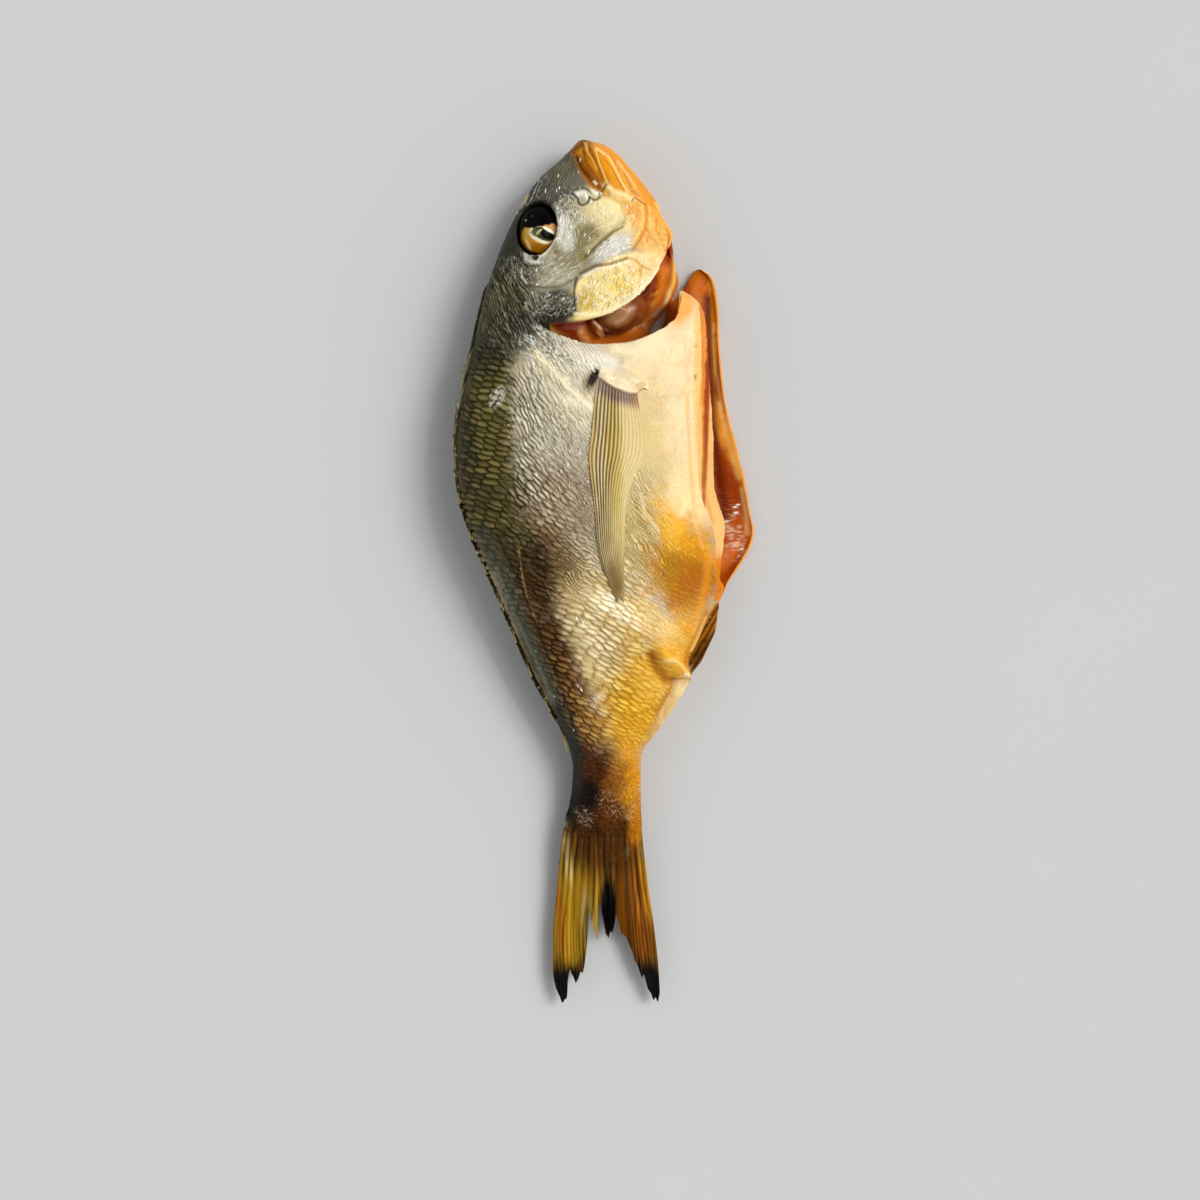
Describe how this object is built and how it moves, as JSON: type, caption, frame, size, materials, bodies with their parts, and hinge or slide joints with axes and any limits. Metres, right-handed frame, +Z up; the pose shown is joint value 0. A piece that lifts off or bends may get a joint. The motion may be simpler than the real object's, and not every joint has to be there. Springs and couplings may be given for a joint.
{
  "type": "smoked fish",
  "caption": "Whole smoked fish, gutted, lying flat on one side with its belly cut open, gill covers parted and fins folded.",
  "frame": {"origin": "middle of the fish's bounding box in plan, on the surface it lies on", "axes": "+Y to the snout along the fish, +X to the belly, +Z up out of the upper flank"},
  "size_m": [0.1053, 0.2999, 0.0336],
  "materials": {
    "fish_skin": "oily smoked skin, silver-brown on the back and gold on the belly"
  },
  "bodies": {
    "root": {"fish": "fish_skin"}
  },
  "joints": []
}
